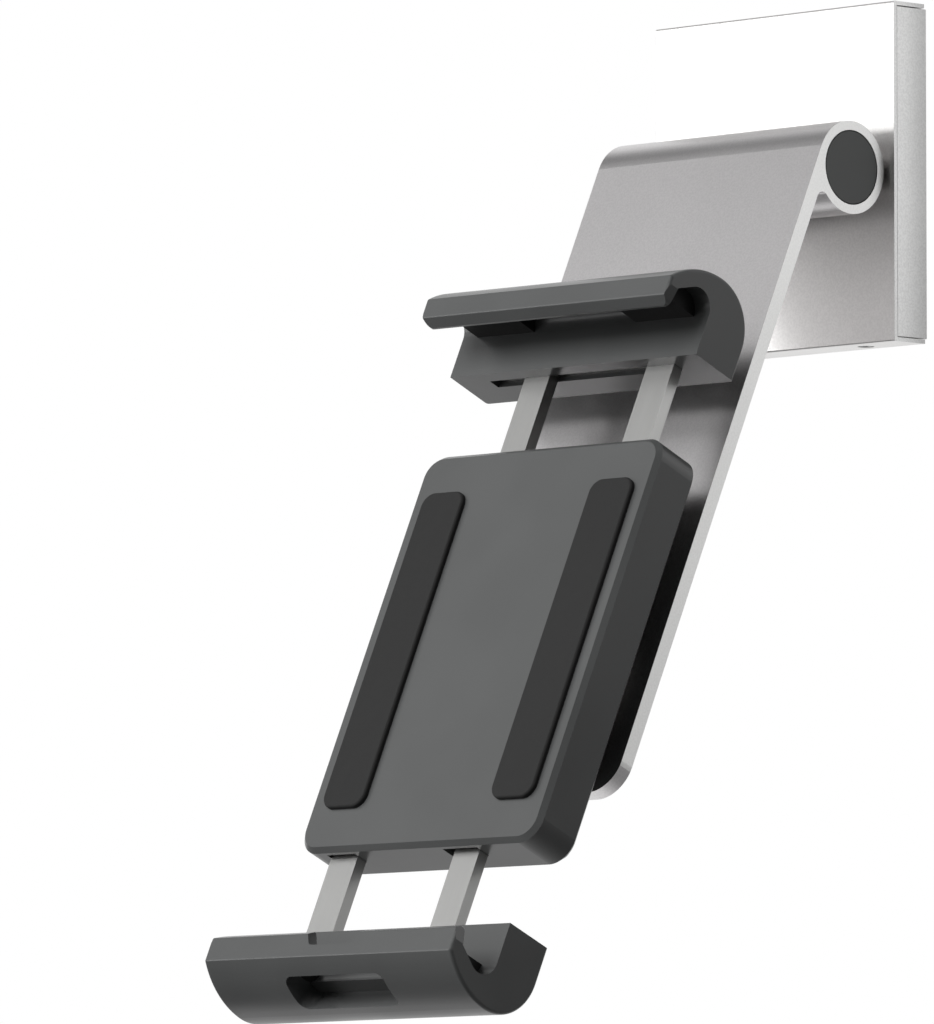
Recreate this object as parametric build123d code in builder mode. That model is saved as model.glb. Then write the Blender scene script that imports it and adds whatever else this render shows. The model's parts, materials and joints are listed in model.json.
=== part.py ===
from build123d import *
from math import acos, asin, atan2, ceil, cos, degrees, hypot, pi, radians, sin, sqrt, tan
import os

# Tablet wall mount, millimetres. The origin is the centre of the wall box's back face,
# +X runs along the arm's tube, +Y points into the wall and +Z is up.
# The arm hangs out from the wall by the tilt, and the holder stands square to the arm.

# Pose
tilt = 24.4

# Wall box: an extruded base channel on the wall under a cover channel
box_width = 80.0
box_height = 82.0
box_depth = 11.7
cover_sheet = 1.0
base_sheet = 2.0
box_corner = 0.5
box_root = 0.3
window_corner = 1.2
sheet_seam = 0.15
cover_setback = 1.1
wall_hole_spacing_x = 54.0
wall_hole_spacing_z = 54.0
wall_hole_radius = 2.75
tab_width = 12.0
tab_spacing = 50.0
tab_setback = 1.5
grub_radius = 2.0
grub_recess = 0.2
grub_length = 4.5

# Tube and plate of the arm
tube_gap = 1.0
tube_radius = 11.2
tube_wall = 2.2
arm_width = 75.0
plate_thickness = 3.7
plate_root_radius = 1.9
plate_corner_radius = 8.0
plate_overhang = 3.0
swivel_drop = 142.6

# Tilt hinge inside the tube
tilt_travel = 90.0
neck_width = 30.0
neck_height = 7.0
neck_clearance = 0.4
neck_foot_width = 46.0
neck_foot_height = 30.0
neck_foot_thickness = 4.0
neck_root_radius = 1.5
shaft_radius = 4.0
eye_clearance = 0.3
running_fit = 0.05
side_play = 0.1
thrust_washer = 1.0
disc_spring_sheet = 0.9
disc_spring_rise = 0.3
nut_thickness = 4.0
nut_clearance = 1.4
plug_face = 2.4
plug_skirt = 1.6
plug_skirt_wall = 1.2
plug_clearance = 0.5
plug_fit = 0.05
plug_chamfer = 0.3

# Countersunk screws of the arm and the neck
arm_screw_radius = 2.0
arm_screw_head = 3.8
arm_screw_bite = 2.4

# Swivel between the arm and the holder
swivel_radius = 27.0
swivel_disc = 3.0
friction_disc_thickness = 1.0
friction_disc_inset = 1.0
boss_height = 2.8
hub_radius = 12.0
holder_floor = 2.5
spring_height = 1.2
spring_sheet = 0.6
spring_width = 6.0
retainer_thickness = 2.0
small_screw_radius = 1.5
small_screw_head = 2.9
retainer_screw_length = 6.0

# Pinion and racks
gear_module = 1.5
pinion_teeth = 12
pressure_angle = 20.0
pinion_addendum = 1.4
rack_addendum = 1.0
tooth_clearance = 0.3
backlash = 0.5
pinion_thickness = 3.4
axle_radius = 3.0
axle_flange = 1.5
axle_flange_thickness = 0.8
layer_gap = 0.3
axle_cap = 0.4

# Slides: each has a rack arm and a guide arm that reach into the housing
slide_thickness = 3.0
rack_arm_width = 8.3
guide_arm_width = 9.0
guide_arm_reach = 10.0
slide_gap = 0.2
rib_width = 2.4
travel_in = 21.0
travel_out = 25.0
stop_gap = 0.5
slide_bar = 10.0
slide_bar_inset = 1.5
slide_fit = 0.1

# Housing of the holder
side_wall = 8.8
end_wall = 2.0
cover_plate = 2.2
housing_corner = 6.0
housing_edge = 1.2
rail_width = 3.0
post_radius = 3.2
post_length = 5.0
post_inset = 4.6
post_gap = 0.2
pad_width = 14.0
pad_length = 84.0
pad_height = 1.7
pad_seat = 0.4
clamp_radius = 2.5
clamp_length = 5.5
clamp_tip_length = 2.0
clamp_inset = 13.0
clamp_socket = 1.45

# Jaws
jaw_width = 82.5
jaw_shank = 10.5
crown_radius = 12.5
upper_crown_centre = 2.25
lower_crown_centre = 1.4
brow_radius = 21.4
brow_start = 92.3
pocket_width = 11.7
pocket_front_rise = 0.85
pocket_radius = 4.6
pocket_drop = 0.1
lip_thickness = 3.1
lip_tip_drop = 3.9
lip_fold_drop = 2.25
lip_tip_width = 0.6
lip_end_inset = 1.2
lip_end_reach = 4.5
lip_end_radius = 1.8
jaw_end_radius = 0.8
jaw_fold_radius = 0.6
jaw_screw_spacing = 22.0
jaw_pad_start = 17.0
jaw_pad_inset = 5.0

# Cable slot and button notch of the lower jaw
cable_slot_width = 32.6
cable_slot_height = 10.1
cable_slot_corner = 2.5
cable_slot_angle = 67.3
cable_slot_depth = 6.4
notch_top = 9.4
notch_bottom = 7.0
notch_depth = 4.6
notch_corner = 1.2

# Directions and planes. The arm's face plane has X across, Y up the plate and
# Z out to the person. The side plane has X out to the person and Y up the plate.
lean = radians(tilt)
outward = Vector(0, -cos(lean), sin(lean))
upward = Vector(0, sin(lean), cos(lean))
tube_out = box_depth + tube_gap + tube_radius
tube_axis = Vector(0, -tube_out, 0)
bore_radius = tube_radius - tube_wall
plate_back = tube_radius - plate_thickness
swivel_face = tube_radius + swivel_disc + friction_disc_thickness + side_play
holder_back = swivel_face + boss_height
arm_side = Plane(origin=tube_axis, x_dir=outward, z_dir=(-1, 0, 0))
swivel_centre = tube_axis - upward * swivel_drop
holder_centre = swivel_centre + outward * holder_back


def arm_face(distance):
    """Plane across the arm at the swivel axis, this far out from the tube's axis."""
    return Plane(origin=swivel_centre + outward * distance, x_dir=(1, 0, 0), z_dir=outward)


def holder_face(side, depth):
    """Plane across the holder. Side 1 is the upper jaw's half and -1 the lower jaw's."""
    return Plane(origin=holder_centre + outward * depth, x_dir=(side, 0, 0), z_dir=outward)


def holder_side(side):
    """Section plane of a jaw: X is depth from the holder's back, Y runs out to the jaw."""
    return Plane(origin=holder_centre, x_dir=outward, z_dir=(-side, 0, 0))


# Depths in the holder, from its back face to the person
retainer_back = holder_floor + spring_height
flange_depth = retainer_back + retainer_thickness + layer_gap
slide_floor = flange_depth + axle_flange_thickness + side_play
slide_back = slide_floor + slide_gap
slide_front = slide_back + slide_thickness
pinion_back = slide_floor + side_play
pinion_front = pinion_back + pinion_thickness
rail_front = slide_front + slide_gap
cover_back = pinion_front + spring_height - slide_gap
holder_front = cover_back + cover_plate
boss_back = -boss_height

# Distances across the holder
pitch_radius = gear_module * pinion_teeth / 2
tooth_pitch = pi * gear_module
rack_root = pitch_radius + pinion_addendum + tooth_clearance
rack_tip = pitch_radius - rack_addendum
rack_outer = rack_root + rack_arm_width
guide_inner = rack_outer + slide_gap + rib_width + slide_gap
guide_outer = guide_inner + guide_arm_width
housing_width = 2 * (guide_outer + slide_gap + side_wall)

# Distances along the holder, from the swivel axis to a jaw
rack_reach = travel_out + 3 * gear_module
housing_half = rack_reach + travel_in + stop_gap + end_wall
jaw_inner = housing_half + travel_in + stop_gap
tablet_edge = jaw_inner + jaw_shank
bar_start = jaw_inner + slide_bar_inset
bar_end = bar_start + slide_bar


def neck_places():
    """Screws that hold the neck's foot to the base."""
    return GridLocations(neck_foot_width - 4 * arm_screw_head, neck_foot_height / 2, 2, 2)


def tab_places():
    """Grub screws in the base's two tabs, halfway up the box's depth."""
    return Locations((-tab_spacing / 2, -box_depth / 2), (tab_spacing / 2, -box_depth / 2))


def arm_screw_places():
    """Screws that hold the swivel's disc to the arm's plate."""
    return PolarLocations((hub_radius + swivel_radius) / 2, 4, 45)


def retainer_places():
    """Screws that hold the retainer to the hub."""
    return PolarLocations(hub_radius - 2 * small_screw_head + running_fit, 3, 90)


def post_places():
    """Screws that hold the two halves of the housing together."""
    return GridLocations(housing_width - 2 * post_inset, 2 * housing_half - 2 * post_inset, 2, 2)


def jaw_screw_places():
    """Row of screws that hold a slide's bar in its jaw."""
    row = bar_start + slide_bar / 2
    return Locations((-jaw_screw_spacing, row), (0, row), (jaw_screw_spacing, row))


def pad_places():
    """Middles of the two rubber pads on the housing."""
    pad_place = housing_width / 2 - pad_width / 2 - post_inset
    return Locations((-pad_place, 0), (pad_place, 0))


print("tube axis from the wall", round(tube_out, 3))
print("holder centre", [round(value, 3) for value in holder_centre])
print("opening", 2 * tablet_edge, "travel", -travel_in, travel_out)
print("pitch radius", pitch_radius, "housing", housing_width, 2 * housing_half, holder_front)


def save(piece, name):
    """Label a finished piece and write its file."""
    piece.label = name
    export_step(piece, f"parts/{name}.step")


# Wall base: a channel with screw holes, and tabs for the cover's grub screws
base_width = box_width - 2 * sheet_seam
base_height = box_height - 2 * (cover_sheet + sheet_seam)
base_depth = box_depth - cover_sheet - sheet_seam
wall_plane = Plane(origin=(0, 0, 0), x_dir=(-1, 0, 0), z_dir=(0, 1, 0))

with BuildPart() as wall_base:
    with BuildSketch(Plane.XY.offset(-base_height / 2)):
        Rectangle(base_width, base_depth, align=(Align.CENTER, Align.MAX))
        with Locations((0, -base_sheet)):
            Rectangle(
                base_width - 2 * base_sheet, base_depth, align=(Align.CENTER, Align.MAX), mode=Mode.SUBTRACT)
    extrude(amount=base_height)
    back_corners = wall_base.edges().filter_by(Axis.Z).group_by(Axis.Y)[-1]
    fillet(back_corners, box_corner)
    inner_roots = wall_base.edges().filter_by(Axis.Z).filter_by_position(
        Axis.Y, -base_sheet - 0.01, -base_sheet + 0.01)
    fillet(inner_roots, box_root)
    with BuildSketch(Plane.XZ.offset(0)):
        with Locations((-tab_spacing / 2, -base_height / 2), (tab_spacing / 2, -base_height / 2)):
            Rectangle(tab_width, base_sheet, align=(Align.CENTER, Align.MIN))
    extrude(amount=base_depth - tab_setback)
    with BuildSketch(Plane.XY.offset(-base_height / 2)):
        with tab_places():
            Circle(grub_radius)
    extrude(amount=base_sheet, mode=Mode.SUBTRACT)
    with BuildSketch(wall_plane):
        with GridLocations(wall_hole_spacing_x, wall_hole_spacing_z, 2, 2):
            Circle(wall_hole_radius)
    extrude(amount=-base_sheet, mode=Mode.SUBTRACT)
    with Locations(wall_plane), neck_places():
        CounterSinkHole(arm_screw_radius, arm_screw_head, base_sheet)

save(wall_base.part, "wall_base")

# Wall cover: a channel across the base, with a window for the neck
eye_radius = bore_radius - eye_clearance

with BuildPart() as wall_cover:
    with BuildSketch(Plane.YZ.offset(-box_width / 2)):
        with Locations((-cover_setback, 0)):
            Rectangle(box_depth - cover_setback, box_height, align=(Align.MAX, Align.CENTER))
        with Locations((-box_depth + cover_sheet, 0)):
            Rectangle(
                box_depth, box_height - 2 * cover_sheet, align=(Align.MIN, Align.CENTER), mode=Mode.SUBTRACT)
    extrude(amount=box_width)
    fillet(wall_cover.edges().filter_by(Axis.X).group_by(Axis.Y)[0], box_corner)
    inner_roots = wall_cover.edges().filter_by(Axis.X).filter_by_position(
        Axis.Y, -box_depth + cover_sheet - 0.01, -box_depth + cover_sheet + 0.01)
    fillet(inner_roots, box_root)
    with BuildSketch(Plane.XZ.offset(box_depth - cover_sheet)):
        RectangleRounded(neck_width + 2 * neck_clearance, 2 * (eye_radius + eye_clearance), window_corner)
    extrude(amount=cover_sheet, mode=Mode.SUBTRACT)
    with BuildSketch(Plane.XY.offset(-box_height / 2)):
        with tab_places():
            Circle(grub_radius + running_fit)
    extrude(amount=cover_sheet, mode=Mode.SUBTRACT)

save(wall_cover.part, "wall_cover")

with BuildPart() as cover_screws:
    with BuildSketch(Plane.XY.offset(-box_height / 2 + grub_recess)):
        with tab_places():
            Circle(grub_radius)
    extrude(amount=grub_length)
    with BuildSketch(Plane.XY.offset(-box_height / 2 + grub_recess)):
        with tab_places():
            RegularPolygon(grub_radius / 2, 6)
    extrude(amount=grub_length / 2, mode=Mode.SUBTRACT)

save(cover_screws.part, "cover_screws")

# Neck: a foot on the base, a web through the window and an eye inside the tube
with BuildPart() as hinge_neck:
    with BuildSketch(Plane.XZ.offset(base_sheet)):
        RectangleRounded(neck_foot_width, neck_foot_height, arm_screw_head)
    extrude(amount=neck_foot_thickness)
    with BuildSketch(Plane.YZ.offset(-neck_width / 2)):
        with Locations((-base_sheet, 0)):
            Rectangle(tube_out - base_sheet, neck_height, align=(Align.MAX, Align.CENTER))
        with Locations((-tube_out, 0)):
            Circle(eye_radius)
    extrude(amount=neck_width)
    foot_line = -base_sheet - neck_foot_thickness
    root_edges = hinge_neck.edges().filter_by(Axis.X).filter_by_position(
        Axis.Y, foot_line - 0.01, foot_line + 0.01)
    fillet(root_edges.group_by(SortBy.LENGTH)[0], neck_root_radius)
    with BuildSketch(Plane.YZ.offset(-neck_width / 2)):
        with Locations((-tube_out, 0)):
            Circle(shaft_radius)
    extrude(amount=neck_width, mode=Mode.SUBTRACT)
    with BuildSketch(wall_plane.offset(-base_sheet)):
        with neck_places():
            Circle(arm_screw_radius)
    extrude(amount=-neck_foot_thickness, mode=Mode.SUBTRACT)

save(hinge_neck.part, "hinge_neck")


def flat_screw(plane, places, radius, head, length):
    """Countersunk socket screws with their heads in the plane and shanks against its normal."""
    with BuildPart() as screws:
        with Locations(plane), places():
            Cylinder(radius, length, align=(Align.CENTER, Align.CENTER, Align.MAX))
            Cone(radius, head, head - radius, align=(Align.CENTER, Align.CENTER, Align.MAX))
        with BuildSketch(plane):
            with places():
                RegularPolygon(0.6 * radius, 6)
        extrude(amount=-radius, mode=Mode.SUBTRACT)
    return screws.part


neck_screws = flat_screw(
    wall_plane, neck_places, arm_screw_radius, arm_screw_head, base_sheet + neck_foot_thickness)
save(neck_screws, "neck_screws")

# Shaft stack along X, from the neck outwards. The bushes fill what the rest leaves.
spring_stack = 2 * (disc_spring_sheet + disc_spring_rise)
washer_start = neck_width / 2
bush_start = washer_start + thrust_washer + side_play
plug_start = arm_width / 2 - plug_face - plug_skirt
nut_end = plug_start - plug_clearance
nut_start = nut_end - nut_thickness
spring_start = nut_start - spring_stack
bush_end = spring_start - side_play

with BuildPart() as tilt_shaft:
    with BuildSketch(Plane.YZ.offset(-nut_end)):
        with Locations((-tube_out, 0)):
            Circle(shaft_radius)
    extrude(amount=2 * nut_end)
    chamfer(tilt_shaft.edges().filter_by(GeomType.CIRCLE), shaft_radius / 8)

save(tilt_shaft.part, "tilt_shaft")


def tube_section(side, start):
    """Plane across the tube's axis whose normal points out to one end of the tube."""
    return Plane(origin=(side * start, -tube_out, 0), x_dir=(0, 1, 0), z_dir=(side, 0, 0))


with BuildPart() as thrust_washers:
    for side in (-1, 1):
        with BuildSketch(tube_section(side, washer_start)):
            Circle(eye_radius)
            Circle(shaft_radius, mode=Mode.SUBTRACT)
        extrude(amount=thrust_washer)

save(thrust_washers.part, "thrust_washers")

with BuildPart() as tilt_bushes:
    for side in (-1, 1):
        with BuildSketch(tube_section(side, bush_start)):
            Circle(bore_radius)
            Circle(shaft_radius + running_fit, mode=Mode.SUBTRACT)
        extrude(amount=bush_end - bush_start)

save(tilt_bushes.part, "tilt_bushes")

spring_rim = bore_radius - nut_clearance / 2
spring_half = disc_spring_sheet + disc_spring_rise

with BuildPart() as disc_springs:
    for side in (-1, 1):
        shaft_plane = Plane(origin=(0, -tube_out, 0), x_dir=(side, 0, 0), z_dir=(0, -side, 0))
        with BuildSketch(shaft_plane):
            for mid, turn in ((spring_start, 1), (spring_start + 2 * spring_half, -1)):
                with BuildLine():
                    Polyline(
                        (mid, shaft_radius),
                        (mid + turn * disc_spring_sheet, shaft_radius),
                        (mid + turn * spring_half, spring_rim),
                        (mid + turn * disc_spring_rise, spring_rim),
                        close=True)
                make_face()
        revolve(axis=Axis((0, -tube_out, 0), (1, 0, 0)))

save(disc_springs.part, "disc_springs")

with BuildPart() as shaft_nuts:
    for side in (-1, 1):
        with BuildSketch(tube_section(side, nut_start)):
            RegularPolygon(bore_radius - nut_clearance, 6)
            Circle(shaft_radius, mode=Mode.SUBTRACT)
        extrude(amount=nut_thickness)

save(shaft_nuts.part, "shaft_nuts")


def end_plug(side):
    """Cup-shaped plug, flush with one end of the tube."""
    with BuildPart() as plug:
        with BuildSketch(tube_section(side, plug_start)):
            Circle(bore_radius - plug_fit)
        extrude(amount=plug_face + plug_skirt)
        chamfer(plug.faces().sort_by(Axis.X)[0 if side < 0 else -1].edges(), plug_chamfer)
        with BuildSketch(tube_section(side, plug_start)):
            Circle(bore_radius - plug_fit - plug_skirt_wall)
        extrude(amount=plug_skirt, mode=Mode.SUBTRACT)
    return plug.part


save(end_plug(-1), "end_plug_left")
save(end_plug(1), "end_plug_right")

# Arm: one extruded section of tube and plate, slotted at the back for the neck
slot_margin = degrees(asin((neck_height / 2 + neck_clearance) / bore_radius))
slot_start = 180 - tilt_travel - slot_margin
slot_sweep = tilt_travel + 2 * slot_margin
slot_half_width = neck_width / 2 + neck_clearance
plate_end = swivel_drop + swivel_radius + plate_overhang
plate_root = -sqrt(tube_radius ** 2 - plate_back ** 2)
arm_back_plane = Plane(origin=arm_face(plate_back).origin, x_dir=(-1, 0, 0), z_dir=-outward)

with BuildPart() as arm_profile:
    with BuildSketch(arm_side):
        Circle(tube_radius)
        with Locations((plate_back, -plate_end)):
            Rectangle(plate_thickness, plate_end, align=(Align.MIN, Align.MIN))
        root_corner = vertices().sort_by_distance((plate_back, plate_root))[0]
        fillet(root_corner, plate_root_radius)
        Circle(bore_radius, mode=Mode.SUBTRACT)
    extrude(amount=arm_width / 2, both=True)
    with BuildSketch(arm_side):
        with BuildLine():
            sector = CenterArc((0, 0), 2 * tube_radius, slot_start, slot_sweep)
            Line(sector @ 1, (0, 0))
            Line((0, 0), sector @ 0)
        make_face()
    extrude(amount=slot_half_width, both=True, mode=Mode.SUBTRACT)
    thickness_edges = arm_profile.edges().filter_by(Axis((0, 0, 0), outward))
    fillet(thickness_edges.group_by(Axis((0, 0, 0), upward))[0], plate_corner_radius)
    with Locations(arm_back_plane), arm_screw_places():
        CounterSinkHole(arm_screw_radius, arm_screw_head, plate_thickness)

save(arm_profile.part, "arm_profile")

# Swivel base: a turned disc with the hub that the holder turns on
hub_height = friction_disc_thickness + side_play + boss_height + holder_floor + spring_height
retainer_radius = hub_radius + spring_width + side_play

with BuildPart() as swivel_base:
    with BuildSketch(arm_face(tube_radius)):
        Circle(swivel_radius)
    extrude(amount=swivel_disc)
    chamfer(swivel_base.edges().filter_by(GeomType.CIRCLE), friction_disc_inset / 2)
    with BuildSketch(arm_face(tube_radius + swivel_disc)):
        Circle(hub_radius)
    extrude(amount=hub_height)
    with BuildSketch(arm_face(tube_radius)):
        with arm_screw_places():
            Circle(arm_screw_radius)
    extrude(amount=arm_screw_bite, mode=Mode.SUBTRACT)
    with BuildSketch(arm_face(tube_radius + swivel_disc + hub_height)):
        with retainer_places():
            Circle(small_screw_radius)
    extrude(amount=retainer_thickness - retainer_screw_length, mode=Mode.SUBTRACT)

save(swivel_base.part, "swivel_base")

swivel_screws = flat_screw(
    arm_back_plane, arm_screw_places, arm_screw_radius, arm_screw_head, plate_thickness + arm_screw_bite)
save(swivel_screws, "swivel_screws")

with BuildPart() as friction_disc:
    with BuildSketch(arm_face(tube_radius + swivel_disc)):
        Circle(swivel_radius - friction_disc_inset)
        Circle(hub_radius + layer_gap, mode=Mode.SUBTRACT)
    extrude(amount=friction_disc_thickness)

save(friction_disc.part, "friction_disc")

retainer_front = holder_face(1, retainer_back + retainer_thickness)

with BuildPart() as swivel_retainer:
    with BuildSketch(holder_face(1, retainer_back)):
        Circle(retainer_radius)
    extrude(amount=retainer_thickness)
    with Locations(retainer_front), retainer_places():
        CounterSinkHole(small_screw_radius, small_screw_head, retainer_thickness)

save(swivel_retainer.part, "swivel_retainer")

retainer_screws = flat_screw(
    retainer_front, retainer_places, small_screw_radius, small_screw_head, retainer_screw_length)
save(retainer_screws, "retainer_screws")


def cone_spring(plane, inner, outer, height, sheet):
    """Disc spring that stands on its outer rim in the plane and rises to its inner rim."""
    with BuildPart() as spring:
        section = Plane(origin=plane.origin, x_dir=plane.x_dir, z_dir=-plane.y_dir)
        with BuildSketch(section):
            with BuildLine():
                Polyline((outer, 0), (outer, sheet), (inner, height), (inner, height - sheet), close=True)
            make_face()
        revolve(axis=Axis(plane.origin, plane.z_dir))
    return spring.part


swivel_spring = cone_spring(
    holder_face(1, holder_floor), hub_radius + layer_gap, hub_radius + spring_width,
    spring_height - side_play, spring_sheet)
save(swivel_spring, "swivel_spring")

# Housing shell: channels for the slides, a well for the retainer and a boss at the back
well_radius = retainer_radius + 2 * side_play + spring_width / 3
holder_back_plane = Plane(origin=holder_centre, x_dir=(-1, 0, 0), z_dir=-outward)
screw_depth = cover_back - post_length
clamp_height = slide_back + slide_thickness / 2
clamp_place = housing_half - clamp_inset
clamp_start = guide_outer + side_play
clamp_plane = Plane(
    origin=holder_centre - upward * clamp_place + outward * clamp_height,
    x_dir=upward, z_dir=(-1, 0, 0)).offset(clamp_start)

with BuildPart() as holder_shell:
    with BuildSketch(holder_face(1, 0)):
        RectangleRounded(housing_width, 2 * housing_half, housing_corner)
    extrude(amount=cover_back)
    chamfer(holder_shell.faces().sort_by(Axis((0, 0, 0), outward))[0].edges(), housing_edge)
    with BuildSketch(holder_face(1, boss_back)):
        Circle(swivel_radius)
    extrude(amount=boss_height + housing_edge)
    with BuildSketch(holder_face(1, boss_back)):
        Circle(hub_radius + running_fit)
    extrude(amount=boss_height + holder_floor, mode=Mode.SUBTRACT)
    with BuildSketch(holder_face(1, holder_floor)):
        Circle(well_radius)
    extrude(amount=cover_back - holder_floor, mode=Mode.SUBTRACT)
    with BuildSketch(holder_face(1, slide_floor)):
        Rectangle(2 * (rack_outer + slide_gap), 2 * (housing_half - end_wall))
    extrude(amount=cover_back - slide_floor, mode=Mode.SUBTRACT)
    for side in (1, -1):
        with BuildSketch(holder_face(side, slide_floor)):
            with Locations((-rack_outer - slide_gap, 0)):
                Rectangle(rack_outer - rack_tip + 2 * slide_gap, housing_half, align=(Align.MIN, Align.MIN))
            with Locations((guide_inner - slide_gap, guide_arm_reach - travel_in - 2 * stop_gap)):
                Rectangle(
                    guide_arm_width + 2 * slide_gap,
                    housing_half - guide_arm_reach + travel_in + 2 * stop_gap, align=(Align.MIN, Align.MIN))
        extrude(amount=cover_back - slide_floor, mode=Mode.SUBTRACT)
    with BuildSketch(holder_face(1, screw_depth)):
        with post_places():
            Circle(post_radius + post_gap)
    extrude(amount=post_length, mode=Mode.SUBTRACT)
    with Locations(holder_back_plane), post_places():
        CounterSinkHole(small_screw_radius + running_fit, small_screw_head, screw_depth)
    with BuildSketch(clamp_plane):
        Circle(clamp_radius)
    extrude(amount=housing_width, mode=Mode.SUBTRACT)

save(holder_shell.part, "holder_shell")

# Housing cover: posts for the screws, rails over the slides and seats for the pads
rack_rail = (rack_root + rack_outer) / 2
guide_rail = (guide_inner + guide_outer) / 2
guide_rail_length = housing_half - end_wall - guide_arm_reach

with BuildPart() as holder_cover:
    with BuildSketch(holder_face(1, cover_back)):
        RectangleRounded(housing_width, 2 * housing_half, housing_corner)
    extrude(amount=cover_plate)
    chamfer(holder_cover.faces().sort_by(Axis((0, 0, 0), outward))[-1].edges(), housing_edge)
    with BuildSketch(holder_face(1, cover_back)):
        with post_places():
            Circle(post_radius)
    extrude(amount=-post_length)
    for side in (1, -1):
        with BuildSketch(holder_face(side, rail_front)):
            with Locations((-rack_rail, 0)):
                Rectangle(rail_width, 2 * (housing_half - end_wall - stop_gap))
            with Locations((guide_rail, guide_arm_reach)):
                Rectangle(rail_width, guide_rail_length, align=(Align.CENTER, Align.MIN))
        extrude(amount=cover_back - rail_front)
    with BuildSketch(holder_face(1, cover_back)):
        Circle(axle_radius)
    extrude(amount=cover_plate - axle_cap, mode=Mode.SUBTRACT)
    with BuildSketch(holder_face(1, screw_depth)):
        with post_places():
            Circle(small_screw_radius)
    extrude(amount=post_length, mode=Mode.SUBTRACT)
    with BuildSketch(holder_face(1, holder_front - pad_seat)):
        with pad_places():
            RectangleRounded(pad_width, pad_length, pad_width / 4)
    extrude(amount=pad_seat, mode=Mode.SUBTRACT)

save(holder_cover.part, "holder_cover")

holder_screws = flat_screw(
    holder_back_plane, post_places, small_screw_radius, small_screw_head, cover_back)
save(holder_screws, "holder_screws")

with BuildPart() as back_pads:
    with BuildSketch(holder_face(1, holder_front - pad_seat)):
        with pad_places():
            RectangleRounded(pad_width, pad_length, pad_width / 4)
    extrude(amount=pad_height)
    chamfer(back_pads.edges().group_by(Axis((0, 0, 0), outward))[-1], pad_seat)

save(back_pads.part, "back_pads")

# Clamp screw and its brass tip, which lock the lower jaw's guide arm from the side
with BuildPart() as clamp_tip:
    with BuildSketch(clamp_plane):
        Circle(clamp_radius - running_fit)
    extrude(amount=clamp_tip_length)

save(clamp_tip.part, "clamp_tip")

with BuildPart() as clamp_screw:
    with BuildSketch(clamp_plane.offset(clamp_tip_length)):
        Circle(clamp_radius)
    extrude(amount=clamp_length)
    with BuildSketch(clamp_plane.offset(clamp_tip_length + clamp_length)):
        RegularPolygon(clamp_socket, 6)
    extrude(amount=-clamp_length / 2, mode=Mode.SUBTRACT)

save(clamp_screw.part, "clamp_screw")

# Pinion: involute flanks above the base circle and radial flanks below it
base_radius = pitch_radius * cos(radians(pressure_angle))
tip_radius = pitch_radius + pinion_addendum
root_radius = pitch_radius - rack_addendum - tooth_clearance
tooth_thickness = tooth_pitch / 2 - backlash / 2
involute_start = tan(radians(pressure_angle)) - radians(pressure_angle)
base_half_angle = tooth_thickness / 2 / pitch_radius + involute_start


def flank_point(radius, side):
    """Point of one tooth's flank at this radius, for a tooth that points along +X."""
    roll = acos(min(1.0, base_radius / radius))
    angle = side * (base_half_angle - (tan(roll) - roll))
    return (radius * cos(angle), radius * sin(angle))


flank_radii = [
    base_radius, (base_radius + pitch_radius) / 2, pitch_radius, (pitch_radius + tip_radius) / 2, tip_radius]

with BuildSketch() as pinion_tooth:
    with BuildLine():
        foot = (root_radius - tooth_clearance) * cos(base_half_angle)
        foot_half = (root_radius - tooth_clearance) * sin(base_half_angle)
        lower_flank = [flank_point(radius, -1) for radius in flank_radii]
        upper_flank = [flank_point(radius, 1) for radius in reversed(flank_radii)]
        Polyline((foot, -foot_half), *lower_flank, *upper_flank, (foot, foot_half), close=True)
    make_face()

with BuildPart() as jaw_pinion:
    with BuildSketch(holder_face(1, pinion_back)):
        Circle(root_radius)
        with PolarLocations(0, pinion_teeth):
            add(pinion_tooth.sketch)
        Circle(axle_radius + running_fit, mode=Mode.SUBTRACT)
    extrude(amount=pinion_thickness)

save(jaw_pinion.part, "jaw_pinion")

with BuildPart() as pinion_axle:
    with BuildSketch(holder_face(1, flange_depth)):
        Circle(axle_radius + axle_flange)
    extrude(amount=axle_flange_thickness)
    with BuildSketch(holder_face(1, flange_depth)):
        Circle(axle_radius)
    extrude(amount=holder_front - axle_cap - flange_depth)

save(pinion_axle.part, "pinion_axle")

pinion_spring = cone_spring(
    holder_face(1, pinion_front + side_play), axle_radius + side_play, root_radius,
    cover_back - pinion_front - side_play, spring_sheet)
save(pinion_spring, "pinion_spring")


# Jaw section, in the plane of depth and distance from the swivel axis
brow_shift = brow_radius - crown_radius
brow_turn = radians(180 - brow_start)
pocket_back = holder_front
pocket_front = pocket_back + pocket_width
lip_front = pocket_front + lip_thickness
pocket_centre = (pocket_back + pocket_radius, tablet_edge - pocket_drop)
pocket_corner = (pocket_front, tablet_edge + pocket_front_rise)
corner_reach = hypot(pocket_corner[0] - pocket_centre[0], pocket_corner[1] - pocket_centre[1])
corner_angle = degrees(atan2(pocket_corner[1] - pocket_centre[1], pocket_corner[0] - pocket_centre[0]))
roof_angle = corner_angle + degrees(acos(pocket_radius / corner_reach))
lip_tip = tablet_edge - lip_tip_drop
lip_fold = tablet_edge - lip_fold_drop
tip_end = jaw_width / 2 - lip_end_inset


def on_skin(side, edge):
    """True for an end edge on a jaw's outer skin, not in its pocket or on its shank."""
    place = holder_side(side).to_local_coords(edge.center())
    on_lip = place.X > pocket_front + lip_tip_width
    return place.X < stop_gap or on_lip or place.Y > tablet_edge + pocket_radius


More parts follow.
